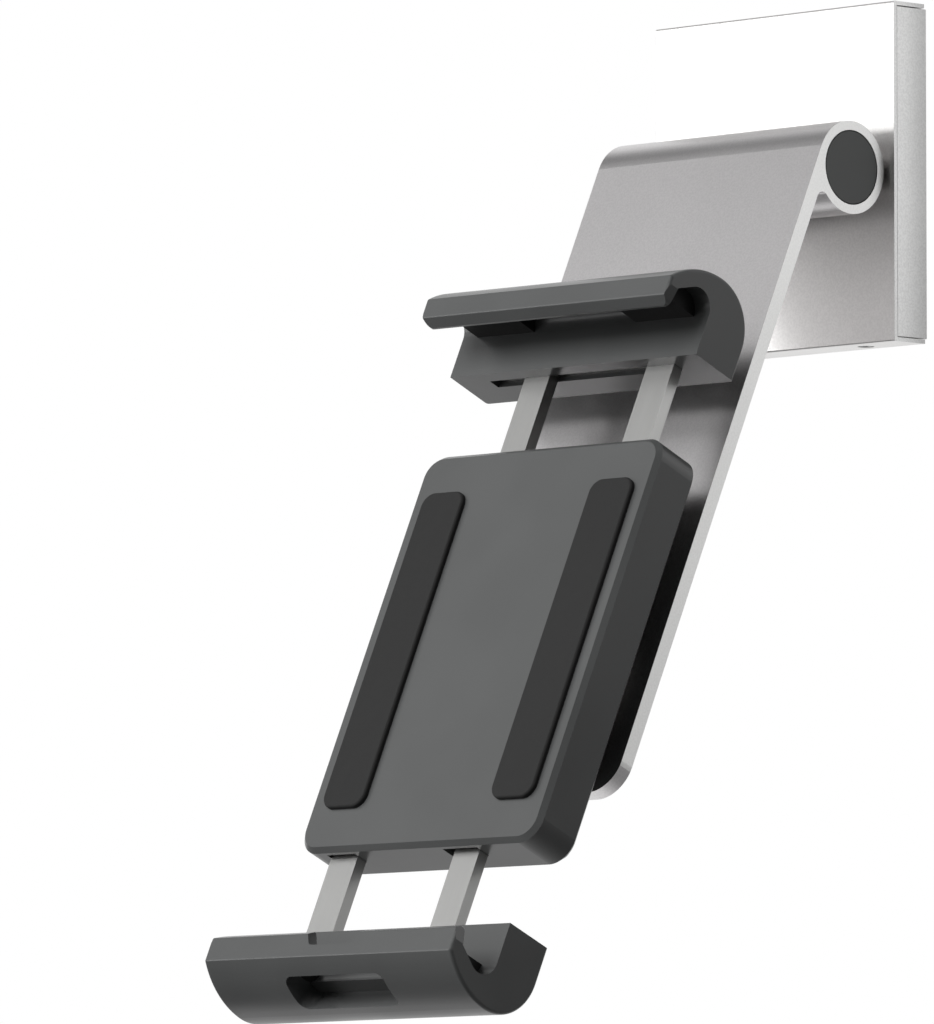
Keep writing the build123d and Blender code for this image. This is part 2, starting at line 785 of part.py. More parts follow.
def jaw(side):
    """One jaw moulding. The lower one is fuller, with a cable slot and a notch in its lip."""
    crown = (crown_radius, tablet_edge - (upper_crown_centre if side > 0 else lower_crown_centre))
    brow = (crown[0] - brow_shift * cos(brow_turn), crown[1] - brow_shift * sin(brow_turn))
    brow_end = degrees(acos((lip_front - brow[0]) / brow_radius))
    with BuildPart() as body:
        with BuildSketch(holder_side(side)):
            with BuildLine():
                crown_line = CenterArc(crown, crown_radius, 180, -brow_start)
                brow_line = CenterArc(brow, brow_radius, 180 - brow_start, brow_end - 180 + brow_start)
                Line(crown_line @ 0, (0, jaw_inner))
                Line((0, jaw_inner), (pocket_back, jaw_inner))
                Line((pocket_back, jaw_inner), (pocket_back, pocket_centre[1]))
                roof_line = CenterArc(pocket_centre, pocket_radius, 180, roof_angle - 180)
                Line(roof_line @ 1, pocket_corner)
                Line(pocket_corner, (pocket_front, lip_tip))
                Line((pocket_front, lip_tip), (pocket_front + lip_tip_width, lip_tip))
                Line((pocket_front + lip_tip_width, lip_tip), (lip_front, lip_fold))
                Line((lip_front, lip_fold), brow_line @ 1)
            make_face()
            fold = vertices().sort_by_distance((lip_front, lip_fold))[0]
            brow_edge = brow[1] + brow_radius * sin(radians(brow_end))
            edge = vertices().sort_by_distance((lip_front, brow_edge))[0]
            fillet([fold, edge], jaw_fold_radius)
        extrude(amount=jaw_width / 2, both=True)
        end_edges = body.faces().filter_by(Axis.X).edges()
        fillet([edge for edge in end_edges if on_skin(side, edge)], jaw_end_radius)
        with BuildSketch(holder_face(side, pocket_front - lip_tip_width)):
            with BuildLine():
                Polyline(
                    (tip_end - 2 * lip_end_radius, lip_tip), (tip_end, lip_tip),
                    (jaw_width / 2, lip_tip + lip_end_reach),
                    (jaw_width / 2 + lip_end_inset, lip_tip + lip_end_reach),
                    (jaw_width / 2 + lip_end_inset, lip_tip - lip_end_inset),
                    (tip_end - 2 * lip_end_radius, lip_tip - lip_end_inset), close=True)
            make_face()
            fillet(vertices().sort_by_distance((tip_end, lip_tip))[0], lip_end_radius)
            mirror(about=Plane.YZ)
        extrude(amount=2 * lip_thickness, mode=Mode.SUBTRACT)
        with BuildSketch(holder_face(side, slide_back - slide_fit / 2)):
            with Locations((0, jaw_inner)):
                Rectangle(
                    2 * (guide_outer + slide_fit), bar_end + slide_fit - jaw_inner,
                    align=(Align.CENTER, Align.MIN))
        extrude(amount=slide_thickness + slide_fit, mode=Mode.SUBTRACT)
        with BuildSketch(holder_face(side, 0)):
            with jaw_screw_places():
                Circle(small_screw_radius)
        extrude(amount=slide_back, mode=Mode.SUBTRACT)
        if side < 0:
            slot_turn = radians(cable_slot_angle)
            ray = outward * cos(slot_turn) - upward * sin(slot_turn)
            brow_point = holder_centre + outward * brow[0] - upward * brow[1]
            slot_floor = brow_point + ray * (brow_radius - cable_slot_depth)
            with BuildSketch(Plane(origin=slot_floor, x_dir=(1, 0, 0), z_dir=ray)):
                RectangleRounded(cable_slot_width, cable_slot_height, cable_slot_corner)
            extrude(amount=2 * cable_slot_depth, mode=Mode.SUBTRACT)
            with BuildSketch(holder_face(side, pocket_front - lip_tip_width)):
                with BuildLine():
                    Polyline(
                        (-notch_top, lip_tip - notch_corner), (-notch_top, lip_tip),
                        (-notch_bottom, lip_tip + notch_depth), (notch_bottom, lip_tip + notch_depth),
                        (notch_top, lip_tip), (notch_top, lip_tip - notch_corner), close=True)
                make_face()
                fillet(vertices().group_by(Axis.Y)[-1], notch_corner)
            extrude(amount=2 * lip_thickness, mode=Mode.SUBTRACT)
    return body.part


def slide(side):
    """Steel slide: a bar in the jaw, a rack arm beside the pinion and a guide arm."""
    mesh_phase = (pinion_teeth / 2) % 1 if side > 0 else 0
    teeth_in = int(rack_reach / tooth_pitch)
    teeth_out = ceil(travel_in / tooth_pitch) + 1
    tip_half = tooth_thickness / 2 - rack_addendum * tan(radians(pressure_angle))
    root_half = tooth_thickness / 2 + (rack_root - pitch_radius) * tan(radians(pressure_angle))
    with BuildPart() as body:
        with BuildSketch(holder_face(side, slide_back)):
            with Locations((0, bar_start)):
                Rectangle(2 * guide_outer, slide_bar, align=(Align.CENTER, Align.MIN))
            with Locations((-rack_outer, -rack_reach)):
                Rectangle(rack_arm_width, bar_end + rack_reach, align=(Align.MIN, Align.MIN))
            with Locations((guide_inner, guide_arm_reach)):
                Rectangle(guide_arm_width, bar_end - guide_arm_reach, align=(Align.MIN, Align.MIN))
            for count in range(-teeth_in, teeth_out):
                middle = (count + 0.5 + mesh_phase) * tooth_pitch
                with BuildLine():
                    Polyline(
                        (-rack_root - tooth_clearance, middle - root_half),
                        (-rack_root, middle - root_half),
                        (-rack_tip, middle - tip_half),
                        (-rack_tip, middle + tip_half),
                        (-rack_root, middle + root_half),
                        (-rack_root - tooth_clearance, middle + root_half), close=True)
                make_face()
        extrude(amount=slide_thickness)
        with BuildSketch(holder_face(side, slide_back)):
            with jaw_screw_places():
                Circle(small_screw_radius)
        extrude(amount=slide_thickness, mode=Mode.SUBTRACT)
    return body.part


def slide_screws(side):
    """Pan screws from the jaw's back into the slide's bar, heads sunk in the moulding."""
    with BuildPart() as screws:
        with BuildSketch(holder_face(side, 0)):
            with jaw_screw_places():
                Circle(small_screw_radius)
        extrude(amount=slide_front)
        with BuildSketch(holder_face(side, 0)):
            with jaw_screw_places():
                RegularPolygon(small_screw_radius / 2, 6)
        extrude(amount=slide_back / 3, mode=Mode.SUBTRACT)
    return screws.part


def jaw_pads(side):
    """Two rubber pads that fill the pocket's roof out to the tablet's edge."""
    pad_end = jaw_width / 2 - jaw_pad_inset
    with BuildPart() as pads:
        with BuildSketch(holder_side(side).offset(jaw_pad_start)):
            with BuildLine():
                Line((pocket_back, pocket_centre[1] - jaw_shank), (pocket_back, pocket_centre[1]))
                roof_line = CenterArc(pocket_centre, pocket_radius, 180, roof_angle - 180)
                Line(roof_line @ 1, pocket_corner)
                Polyline(
                    pocket_corner, (pocket_front, pocket_centre[1] - jaw_shank),
                    (pocket_back, pocket_centre[1] - jaw_shank))
            make_face()
            with Locations((pocket_back, tablet_edge)):
                Rectangle(
                    pocket_width, 2 * pocket_radius, align=(Align.MIN, Align.MIN), mode=Mode.INTERSECT)
        extrude(amount=pad_end - jaw_pad_start)
        mirror(about=Plane.YZ)
    return pads.part


for side, place in ((1, "upper"), (-1, "lower")):
    save(jaw(side), f"{place}_jaw")
    save(slide(side), f"{place}_slide")
    save(slide_screws(side), f"{place}_slide_screws")
    save(jaw_pads(side), f"{place}_jaw_pads")
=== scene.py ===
# %% [markdown]
# # A tablet wall mount
#
# A flat metal box is screwed to the wall. A tube with a plate hangs on a hinge in front of it,
# and a turning holder with two hooked jaws stands on the plate. The pieces come in as a finished
# frame, already at their real size and place. This lesson gives them their surfaces, their soft
# edges and their light, one short step at a time.
#
# The first step brings the frame in and notes how much room it takes, so that nothing added
# later makes the mount any bigger.

# %% Load the frame
import json
import math

import bmesh
import bpy
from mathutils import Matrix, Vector


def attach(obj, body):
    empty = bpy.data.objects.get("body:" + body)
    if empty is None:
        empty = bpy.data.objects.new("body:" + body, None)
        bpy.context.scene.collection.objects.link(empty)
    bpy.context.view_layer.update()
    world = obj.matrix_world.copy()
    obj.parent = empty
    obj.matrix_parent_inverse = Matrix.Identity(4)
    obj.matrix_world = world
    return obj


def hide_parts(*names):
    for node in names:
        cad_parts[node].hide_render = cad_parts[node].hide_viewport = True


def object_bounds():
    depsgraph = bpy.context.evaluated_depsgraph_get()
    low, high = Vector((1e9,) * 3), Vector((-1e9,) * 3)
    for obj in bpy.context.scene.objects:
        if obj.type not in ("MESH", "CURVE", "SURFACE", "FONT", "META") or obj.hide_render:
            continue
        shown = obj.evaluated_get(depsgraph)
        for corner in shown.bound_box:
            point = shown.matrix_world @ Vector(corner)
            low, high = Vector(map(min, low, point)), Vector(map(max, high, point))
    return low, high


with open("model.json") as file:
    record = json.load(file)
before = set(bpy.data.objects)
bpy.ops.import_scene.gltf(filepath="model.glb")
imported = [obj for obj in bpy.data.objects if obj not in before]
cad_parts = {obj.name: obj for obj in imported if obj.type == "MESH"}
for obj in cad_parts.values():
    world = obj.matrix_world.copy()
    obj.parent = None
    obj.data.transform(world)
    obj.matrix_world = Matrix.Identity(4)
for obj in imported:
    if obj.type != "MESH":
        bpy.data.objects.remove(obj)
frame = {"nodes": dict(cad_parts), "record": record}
frame_low, frame_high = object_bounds()
nodes = frame["nodes"]
frame_size = [round(high - low, 4) for low, high in zip(frame_low, frame_high)]
print("pieces in the frame:", len(nodes), "size in metres:", frame_size)

# %% [markdown]
# ## The camera
#
# The picture is taken from a little below the mount and from its right, with a long lens from
# almost three metres away, so that parallel edges stay nearly parallel. A camera turned with
# `to_track_quat` keeps its horizon level, which is why no roll is given here.

# %% Camera
camera_place = Vector((1.9706, -2.0554, -0.3121))
camera_aim = Vector((-0.7103, 0.6991, 0.0816))
camera_lens = 414.84
camera_sensor = 36.0
camera_sees_from = 0.1
camera_sees_to = 50.0

camera_data = bpy.data.cameras.new("long_lens")
camera_data.lens = camera_lens
camera_data.sensor_width = camera_sensor
camera_data.clip_start = camera_sees_from
camera_data.clip_end = camera_sees_to
camera = bpy.data.objects.new("long_lens", camera_data)
camera.location = camera_place
camera.rotation_mode = "QUATERNION"
camera.rotation_quaternion = camera_aim.to_track_quat("-Z", "Y")
bpy.context.scene.collection.objects.link(camera)
bpy.context.scene.camera = camera
print("camera is", round(camera_place.length, 2), "m from the middle of the wall box")

# %% [markdown]
# ## The floor
#
# The mount hangs on a wall at working height, so the floor lies well below it. It is pale and
# plain. Its rays are switched off for everything but the eye, so that it is a backdrop only: the
# light from below comes from the world, which can be set apart from the floor's own paint.

# %% Floor
floor_drop = 0.75
floor_half = 12.0

floor_shape = bmesh.new()
bmesh.ops.create_grid(floor_shape, x_segments=1, y_segments=1, size=floor_half)
bmesh.ops.translate(floor_shape, verts=floor_shape.verts, vec=(0, 0, -floor_drop))
floor_mesh = bpy.data.meshes.new("floor")
floor_shape.to_mesh(floor_mesh)
floor_shape.free()
floor = bpy.data.objects.new("floor", floor_mesh)
floor.visible_diffuse = False
floor.visible_glossy = False
floor.visible_shadow = False
bpy.context.scene.collection.objects.link(floor)
print("floor lies", floor_drop, "m below the wall box")

# %% [markdown]
# ## The light
#
# A satin metal shows what stands around it more than its own colour, so the room comes first.
# The world is dim in front of the mount and bright behind it, where a white wall would be. The
# foot of that wall gives the rounded underside of the jaws its pale band, and its upper part
# lights the top of the arm's tube. It is also dimmer on the right than on the left, so that the
# two sides of the mount differ.
#
# A world is painted by direction: X points to the right, Y to the wall and Z up. Each border
# below is a pair of numbers, where the change along one of them starts and where it ends.

# %% The room, by direction
low_wall_light = 0.9
high_wall_light = 0.92
right_share = 0.28
room_light = 0.22
low_wall_border = (0.06, 0.16)
high_wall_border = (0.0, 0.37)
low_to_high_border = (-0.1, 0.1)
left_to_right_border = (-0.2, 0.6)

world = bpy.data.worlds.new("studio")
bpy.context.scene.world = world
world.use_nodes = True
sky = world.node_tree
sky.nodes.clear()
sky_place = sky.nodes.new("ShaderNodeTexCoord")
sky_parts = sky.nodes.new("ShaderNodeSeparateXYZ")
sky.links.new(sky_place.outputs["Generated"], sky_parts.inputs["Vector"])


def sky_change(part, border, first, last):
    """Number that goes from first to last as one part of the direction crosses a border."""
    span = sky.nodes.new("ShaderNodeMapRange")
    span.inputs["From Min"].default_value = border[0]
    span.inputs["From Max"].default_value = border[1]
    span.inputs["To Min"].default_value = first
    span.inputs["To Max"].default_value = last
    sky.links.new(sky_parts.outputs[part], span.inputs["Value"])
    return span.outputs["Result"]


low_light = sky_change("Y", low_wall_border, room_light, low_wall_light)
high_light = sky_change("Y", high_wall_border, room_light, high_wall_light)
how_high = sky_change("Z", low_to_high_border, 0.0, 1.0)
side_share = sky_change("X", left_to_right_border, 1.0, right_share)
print("light low, high and in the room:", low_wall_light, high_wall_light, room_light)

# %% [markdown]
# The four changes are joined here: the low light gives way to the high one, and the side's share
# scales both. The view itself is plain white. Light Path tells the eye's own rays from the ones
# that light the mount, so the white isn't seen in the metal.

# %% The room, joined
room = sky.nodes.new("ShaderNodeMix")
sky.links.new(how_high, room.inputs["Factor"])
sky.links.new(low_light, room.inputs["A"])
sky.links.new(high_light, room.inputs["B"])
strength = sky.nodes.new("ShaderNodeMath")
strength.operation = "MULTIPLY"
sky.links.new(room.outputs["Result"], strength.inputs[0])
sky.links.new(side_share, strength.inputs[1])
eye_ray = sky.nodes.new("ShaderNodeLightPath")
seen = sky.nodes.new("ShaderNodeMix")
seen.inputs["B"].default_value = 1.0
sky.links.new(eye_ray.outputs["Is Camera Ray"], seen.inputs["Factor"])
sky.links.new(strength.outputs["Value"], seen.inputs["A"])
sky_colour = sky.nodes.new("ShaderNodeBackground")
sky_colour.inputs["Color"].default_value = (1.0, 1.0, 1.0, 1.0)
sky.links.new(seen.outputs["Result"], sky_colour.inputs["Strength"])
sky_out = sky.nodes.new("ShaderNodeOutputWorld")
sky.links.new(sky_colour.outputs["Background"], sky_out.inputs["Surface"])
bpy.context.scene.view_settings.view_transform = "Standard"
print("the world has", len(sky.nodes), "nodes")

# %% [markdown]
# Soft boxes do the rest. The wide one stands at the mount's own height on the left, where the
# flat front of the wall box mirrors it and turns almost white. The strong one in front lights
# the dark plastic. Metal would mirror it as a white hole, so it is hidden from mirrored rays, and
# a weaker, wider glow at the same place is what the metal shows instead. Another stands where the
# sloping plate mirrors it for the camera, wide enough to fade out along the round of the tube.
# The small low one is seen by way of the wall box's front, which passes it on to the top of the
# tube. The small one on the right stands close by and above the box, so its light falls off
# towards the lower jaw.

# %% Soft boxes


def soft_box(name, direction, distance, width, height, power, mirrored=True):
    """A plain rectangle of light that faces the mount's middle, and that metal may mirror."""
    data = bpy.data.lights.new(name, "AREA")
    data.shape = "RECTANGLE"
    data.size = width
    data.size_y = height
    data.energy = power
    box = bpy.data.objects.new(name, data)
    middle = (frame_low + frame_high) / 2
    box.location = middle + Vector(direction).normalized() * distance
    box.rotation_mode = "QUATERNION"
    box.rotation_quaternion = (middle - box.location).to_track_quat("-Z", "Y")
    box.visible_camera = False
    box.visible_glossy = mirrored
    bpy.context.scene.collection.objects.link(box)


in_front = (-0.1, -0.8, 0.55)
soft_box("left_box", (-0.71, -0.70, 0.02), distance=2.4, width=1.7, height=0.75, power=12.5)
soft_box("front_box", in_front, distance=2.2, width=1.5, height=1.2, power=58, mirrored=False)
soft_box("front_glow", in_front, distance=2.2, width=2.2, height=1.8, power=11)
soft_box("plate_box", (-0.76, -0.49, 0.52), distance=2.2, width=1.25, height=0.9, power=2.0)
soft_box("low_box", (-0.72, -0.62, 0.36), distance=2.2, width=0.5, height=0.3, power=0.8)
soft_box("right_box", (0.71, 0.70, 0.35), distance=1.1, width=1.0, height=0.6, power=1.5)
print("soft boxes:", [light.name for light in bpy.data.lights])

# %% [markdown]
# ## Finishes
#
# Every finish here is made of the same few thoughts: a base colour that wanders a little, a
# roughness that wanders with it, and a fine relief. The first helper makes the empty finish. It
# also hands over the Object coordinates. They are in metres, so that a pattern has the same grain
# on every piece, whatever the piece's size.

# %% An empty finish


def new_finish(name, metallic=0.0):
    """An empty material: its tree, its shader and the coordinates that patterns read."""
    material = bpy.data.materials.new(name)
    material.use_nodes = True
    tree = material.node_tree
    tree.nodes.clear()
    shader = tree.nodes.new("ShaderNodeBsdfPrincipled")
    shader.inputs["Metallic"].default_value = metallic
    out = tree.nodes.new("ShaderNodeOutputMaterial")
    tree.links.new(shader.outputs["BSDF"], out.inputs["Surface"])
    place = tree.nodes.new("ShaderNodeTexCoord").outputs["Object"]
    return material, tree, shader, place


print("an empty finish can be made")

# %% [markdown]
# Next come the patterns. A noise scale of 2000 gives grains of about 0.5 mm. The noise hardly
# leaves the span from 0.3 to 0.7, so that span is what a pattern is stretched over. Both the ramp
# and the range ease in and out, because a straight ramp that is cut off at its ends leaves
# visible contour lines on a smooth face.

# %% Patterns
noise_low = 0.3
noise_high = 0.7


def grain(tree, place, scale, detail=2.0):
    """Cloudy noise whose patches are about 1 / scale metres across."""
    noise = tree.nodes.new("ShaderNodeTexNoise")
    noise.inputs["Scale"].default_value = scale
    noise.inputs["Detail"].default_value = detail
    tree.links.new(place, noise.inputs["Vector"])
    return noise.outputs["Fac"]


def shades(colour, change):
    """A colour a little darker and a little lighter than the one given."""
    darker = tuple(part * (1 - change) for part in colour)
    lighter = tuple(part * (1 + change) for part in colour)
    return darker, lighter


def blend(tree, amount, first, second):
    """Colour that eases from first to second over the noise's span."""
    ramp = tree.nodes.new("ShaderNodeValToRGB")
    ramp.color_ramp.interpolation = "EASE"
    ramp.color_ramp.elements[0].position = noise_low
    ramp.color_ramp.elements[0].color = (*first, 1.0)
    ramp.color_ramp.elements[1].position = noise_high
    ramp.color_ramp.elements[1].color = (*second, 1.0)
    tree.links.new(amount, ramp.inputs["Fac"])
    return ramp.outputs["Color"]


def spread(tree, amount, low, high):
    """Number that eases from low to high over the noise's span."""
    span = tree.nodes.new("ShaderNodeMapRange")
    span.interpolation_type = "SMOOTHSTEP"
    span.inputs["From Min"].default_value = noise_low
    span.inputs["From Max"].default_value = noise_high
    span.inputs["To Min"].default_value = low
    span.inputs["To Max"].default_value = high
    tree.links.new(amount, span.inputs["Value"])
    return span.outputs["Result"]


print("patterns use the noise from", noise_low, "to", noise_high)

# %% [markdown]
# A pattern does nothing until it is put on. These three put it on the shader: as colour, as
# roughness, and as relief. The relief bends the light only and leaves the shape alone, which is
# right for dents of a few hundredths of a millimetre.

# %% Putting a pattern on


def paint(tree, shader, tone):
    """Give the shader its colour."""
    tree.links.new(tone, shader.inputs["Base Color"])


def roughen(tree, shader, amount):
    """Give the shader its roughness."""
    tree.links.new(amount, shader.inputs["Roughness"])


def relief(tree, shader, height, depth, strength=1.0):
    """Fine bumps, depth metres high."""
    bump = tree.nodes.new("ShaderNodeBump")
    bump.inputs["Strength"].default_value = strength
    bump.inputs["Distance"].default_value = depth
    tree.links.new(height, bump.inputs["Height"])
    tree.links.new(bump.outputs["Normal"], shader.inputs["Normal"])


print("patterns can be put on a finish")

# %% [markdown]
# The last helpers let one finish differ from place to place: past a distance from the middle, or
# fading along a way. They read the piece's own coordinates, so the change stays where it is on
# the piece when the piece moves.

# %% Finishes that differ from place to place


def along(tree, place, axis):
    """How far a place lies along one axis."""
    parts = tree.nodes.new("ShaderNodeSeparateXYZ")
    tree.links.new(place, parts.inputs["Vector"])
    return parts.outputs[axis]


def beyond(tree, place, axis, distance):
    """1 where a piece lies further than distance from the middle along an axis, else 0."""
    size = tree.nodes.new("ShaderNodeMath")
    size.operation = "ABSOLUTE"
    tree.links.new(along(tree, place, axis), size.inputs[0])
    test = tree.nodes.new("ShaderNodeMath")
    test.operation = "GREATER_THAN"
    test.inputs[1].default_value = distance
    tree.links.new(size.outputs["Value"], test.inputs[0])
    return test.outputs["Value"]


def fading(tree, place, axis, start, end, least):
    """Number that eases from 1 at the start to the least value at the end, along an axis."""
    span = tree.nodes.new("ShaderNodeMapRange")
    span.interpolation_type = "SMOOTHSTEP"
    span.inputs["From Min"].default_value = start
    span.inputs["From Max"].default_value = end
    span.inputs["To Min"].default_value = 1.0
    span.inputs["To Max"].default_value = least
    tree.links.new(along(tree, place, axis), span.inputs["Value"])
    return span.outputs["Result"]


def dimmed(tree, tone, amount):
    """A colour times a number."""
    scale = tree.nodes.new("ShaderNodeVectorMath")
    scale.operation = "SCALE"
    tree.links.new(tone, scale.inputs[0])
    tree.links.new(amount, scale.inputs["Scale"])
    return scale.outputs["Vector"]


def choose(tree, amount, first, second, kind="RGBA"):
    """The first of two colours or numbers where the amount is 0, and the second where it is 1."""
    mix = tree.nodes.new("ShaderNodeMix")
    mix.data_type = kind
    live = [socket for socket in mix.inputs if socket.enabled]
    first_in, second_in = [socket for socket in live if socket.name in ("A", "B")]
    result = next(socket for socket in mix.outputs if socket.enabled)
    tree.links.new(amount, mix.inputs["Factor"])
    tree.links.new(first, first_in)
    tree.links.new(second, second_in)
    return result


print("finishes can differ from place to place")

# %% [markdown]
# ### Blasted and anodised aluminium
#
# The box and the arm are blasted with fine glass beads and then anodised. Close up the surface
# is a carpet of tiny dents; from a step away it is satin, with a slow change of gloss across a
# wide sheet. Two noises do this, one fine for the dents and one wide for the gloss. Where a
# profile was sawn to length, the cut is paler and duller. On the wall box the sawn sides also
# darken towards the wall: that is painted shade, standing in for the shaded wall beside them.

# %% Blasted aluminium
bead_scale = 2000
sheet_scale = 22
bead_change = 0.045
dent_depth = 0.00002
dent_strength = 0.6
sawn_roughness = 0.45
# Where the painted shade beside the wall starts and ends, in metres along Y.
painted_shade_from = -0.0105
painted_shade_to = 0.001


def blasted(name, colour, roughness, sawn_from, sawn_colour, sawn_change, painted_wall_shade=1.0):
    """Bead-blasted, anodised aluminium, paler and duller on the two sawn ends.

    The tone of the sawn ends wanders by the share sawn_change. Towards the wall their colour is
    darkened with painted shade, down to the share given for it.
    """
    material, tree, shader, place = new_finish(name, metallic=1.0)
    fine = grain(tree, place, bead_scale, detail=3.0)
    wide = grain(tree, place, sheet_scale)
    ends = beyond(tree, place, "X", sawn_from)
    # Painted shade: the sawn sides darken towards the wall, for the shaded wall they face.
    painted_shade_by_wall = fading(tree, place, "Y", painted_shade_from, painted_shade_to, painted_wall_shade)
    blasted_tone = blend(tree, fine, *shades(colour, bead_change))
    # The sawn tone is the cut's own paler colour, with the painted shade laid on it.
    sawn_tone_and_painted_shade = dimmed(tree, blend(tree, fine, *shades(sawn_colour, sawn_change)), painted_shade_by_wall)
    paint(tree, shader, choose(tree, ends, blasted_tone, sawn_tone_and_painted_shade))
    blasted_rough = spread(tree, wide, roughness - 0.02, roughness + 0.03)
    sawn_rough = spread(tree, wide, sawn_roughness - 0.02, sawn_roughness + 0.02)
    roughen(tree, shader, choose(tree, ends, blasted_rough, sawn_rough, "FLOAT"))
    relief(tree, shader, fine, dent_depth, dent_strength)
    return material


finishes = {
    # The wall box's sawn sides get painted shade towards the wall.
    "wall_aluminium": blasted(
        "wall_aluminium_finish", colour=(0.77, 0.762, 0.752), roughness=0.3,
        sawn_from=0.0398, sawn_colour=(0.88, 0.88, 0.875), sawn_change=0.07, painted_wall_shade=0.66),
    "arm_aluminium": blasted(
        "arm_aluminium_finish", colour=(0.72, 0.705, 0.71), roughness=0.32,
        sawn_from=0.0374, sawn_colour=(0.96, 0.96, 0.95), sawn_change=0.03),
}
print("finishes so far:", sorted(finishes))

# %% [markdown]
# ### Moulded plastic
#
# The jaws are one dark grey moulding each. The mould was spark-eroded, which leaves a fine, dull
# texture, so the plastic is matt from a step away and still catches a soft light on its edges.
# Only the relief is fine here. The tone and the gloss wander slowly, because a gloss that
# changes from grain to grain shows as dark specks.

# %% Moulded plastic
spark_scale = 2200
moulding_scale = 35
moulding_change = 0.06
plastic_bends_light = 1.5


def moulded(name, colour, roughness, texture_depth):
    """Plastic from a spark-eroded mould."""
    material, tree, shader, place = new_finish(name)
    fine = grain(tree, place, spark_scale)
    wide = grain(tree, place, moulding_scale)
    paint(tree, shader, blend(tree, wide, *shades(colour, moulding_change)))
    roughen(tree, shader, spread(tree, wide, roughness - 0.02, roughness + 0.03))
    shader.inputs["IOR"].default_value = plastic_bends_light
    relief(tree, shader, fine, texture_depth)
    return material


finishes["jaw_plastic"] = moulded(
    "jaw_plastic_finish", colour=(0.067, 0.069, 0.069), roughness=0.3, texture_depth=0.000008)
finishes["plug_plastic"] = moulded(
    "plug_plastic_finish", colour=(0.086, 0.091, 0.089), roughness=0.42, texture_depth=0.000006)
finishes["bush_plastic"] = moulded(
    "bush_plastic_finish", colour=(0.72, 0.7, 0.64), roughness=0.45, texture_depth=0.000006)
print("finishes so far:", sorted(finishes))

# %% [markdown]
# ### Cast, plated and ground metal
#
# Castings, screws and shafts have no direction in their grain. They differ in how coarse it is,
# in how deep, and in how much they shine, so one recipe serves them all.

# %% Plain metals
grains_in_a_cloud = 60


def plain_metal(name, colour, roughness, scale, depth):
    """Metal with an even grain, such as a casting, a plated screw or a ground shaft."""
    material, tree, shader, place = new_finish(name, metallic=1.0)
    fine = grain(tree, place, scale, detail=3.0)
    wide = grain(tree, place, scale / grains_in_a_cloud)
    paint(tree, shader, blend(tree, wide, *shades(colour, 0.07)))
    roughen(tree, shader, spread(tree, fine, roughness - 0.05, roughness + 0.06))
    relief(tree, shader, fine, depth)
    return material


finishes["cast_alloy"] = plain_metal(
    "cast_alloy_finish", colour=(0.32, 0.325, 0.33), roughness=0.5, scale=1400, depth=0.00004)
finishes["shaft_steel"] = plain_metal(
    "shaft_steel_finish", colour=(0.6, 0.6, 0.6), roughness=0.24, scale=2000, depth=0.000006)
finishes["screw_steel"] = plain_metal(
    "screw_steel_finish", colour=(0.6, 0.61, 0.62), roughness=0.3, scale=2600, depth=0.000008)
finishes["tip_brass"] = plain_metal(
    "tip_brass_finish", colour=(0.78, 0.57, 0.26), roughness=0.3, scale=2000, depth=0.00001)
print("finishes so far:", sorted(finishes))

# %% [markdown]
# ### Turned and drawn metal
#
# These two have a direction. The lathe leaves fine rings on the swivel's base, so its pattern is
# a wave of rings, and a Mapping node of the Texture kind brings it to the swivel's own axis,
# which the record gives. The slides are drawn steel strip, with faint lines along their length:
# plain noise, stretched along the way the jaws slide.

# %% Metals with a direction
mark_depth = 0.000006
ring_scale = 0.314
ring_wobble = 0.6
ring_width = 0.0003
line_width = 0.0003
line_length = 0.02


def lined_up(tree, place, middle, axis, size):
    """The coordinates seen from a point, with Z along an axis and each way in its own unit."""
    mapping = tree.nodes.new("ShaderNodeMapping")
    mapping.vector_type = "TEXTURE"
    mapping.inputs["Location"].default_value = middle
    mapping.inputs["Rotation"].default_value = Vector(axis).to_track_quat("Z", "X").to_euler()
    mapping.inputs["Scale"].default_value = size
    tree.links.new(place, mapping.inputs["Vector"])
    return mapping.outputs["Vector"]


def turned(name, colour, roughness, middle, axis):
    """Metal with the rings that a lathe leaves about the axis it was turned on."""
    material, tree, shader, place = new_finish(name, metallic=1.0)
    wave = tree.nodes.new("ShaderNodeTexWave")
    wave.wave_type = "RINGS"
    wave.rings_direction = "Z"
    wave.inputs["Scale"].default_value = ring_scale
    wave.inputs["Distortion"].default_value = ring_wobble
    about_axis = lined_up(tree, place, middle, axis, (ring_width, ring_width, ring_width))
    tree.links.new(about_axis, wave.inputs["Vector"])
    rings = wave.outputs["Fac"]
    wide = grain(tree, place, 40)
    paint(tree, shader, blend(tree, wide, *shades(colour, 0.04)))
    roughen(tree, shader, spread(tree, rings, roughness - 0.04, roughness + 0.05))
    relief(tree, shader, rings, mark_depth)
    return material


def drawn(name, colour, roughness, axis):
    """Steel strip with faint lines along the way it was drawn."""
    material, tree, shader, place = new_finish(name, metallic=1.0)
    stretch = (line_width, line_width, line_length)
    lines = grain(tree, lined_up(tree, place, (0.0, 0.0, 0.0), axis, stretch), 1.0, detail=3.0)
    wide = grain(tree, place, 30)
    paint(tree, shader, blend(tree, wide, *shades(colour, 0.03)))
    roughen(tree, shader, spread(tree, lines, roughness - 0.04, roughness + 0.05))
    relief(tree, shader, lines, mark_depth)
    return material


joints = {joint["name"]: joint for joint in frame["record"]["behaviour"]["joints"]}
swivel = joints["holder_swivel"]
finishes["turned_aluminium"] = turned(
    "turned_aluminium_finish", colour=(0.8, 0.8, 0.8), roughness=0.3,
    middle=swivel["pos_m"], axis=swivel["axis"])
finishes["slide_steel"] = drawn(
    "slide_steel_finish", colour=(0.56, 0.56, 0.55), roughness=0.34,
    axis=joints["upper_jaw_slide"]["axis"])
print("the swivel turns about", swivel["axis"], "at", swivel["pos_m"])

# %% [markdown]
# ### Rubber
#
# The pads are the dullest pieces. New rubber carries a fine bloom, like dust, which makes its
# black a little uneven.

# %% Rubber
bloom_scale = 3000
smear_scale = 90
bloom_depth = 0.00002


